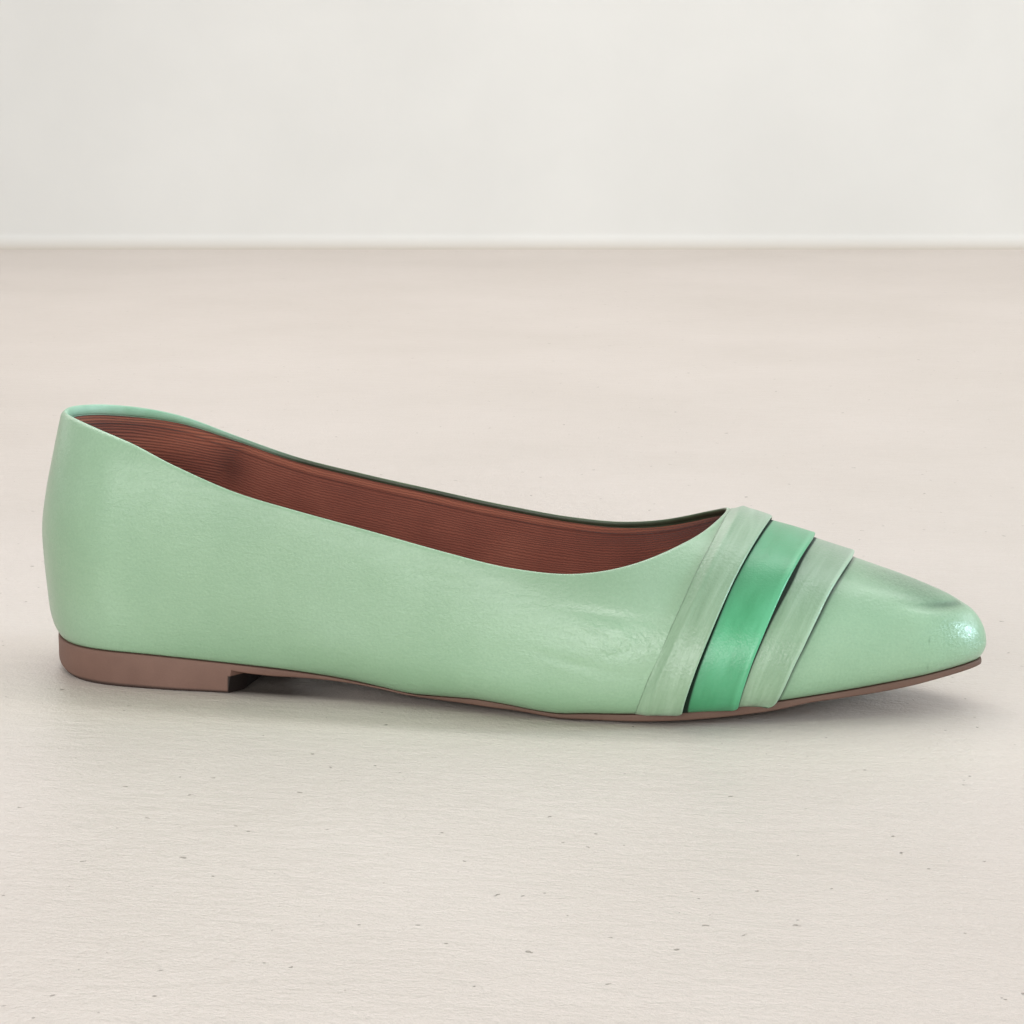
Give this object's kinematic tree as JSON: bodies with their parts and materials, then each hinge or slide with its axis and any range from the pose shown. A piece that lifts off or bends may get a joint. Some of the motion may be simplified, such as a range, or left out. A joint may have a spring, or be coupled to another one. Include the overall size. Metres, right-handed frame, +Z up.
{
  "type": "flat shoe",
  "caption": "Pointed-toe flat shoe with a low collar, a low heel block and three folded bands laid across the vamp, made for the right foot.",
  "frame": {"origin": "middle of the shoe's length and width, on the floor that it stands on", "axes": "+X from heel to toe, -Y the outer side and +Y the inner side of the foot, +Z up from the floor"},
  "size_m": [0.2468, 0.0865, 0.0673],
  "materials": {
    "upper": "semi-gloss, fine grain",
    "band_pale": "pearly satin, brushed along the band",
    "band_green": "satin",
    "insole": "matt ribbed textile",
    "outsole": "matt"
  },
  "bodies": {
    "root": {"outsole": "outsole", "upper": "upper", "insole": "insole", "strap_rear": "band_pale", "strap_middle": "band_green", "strap_front": "band_pale"}
  },
  "joints": []
}
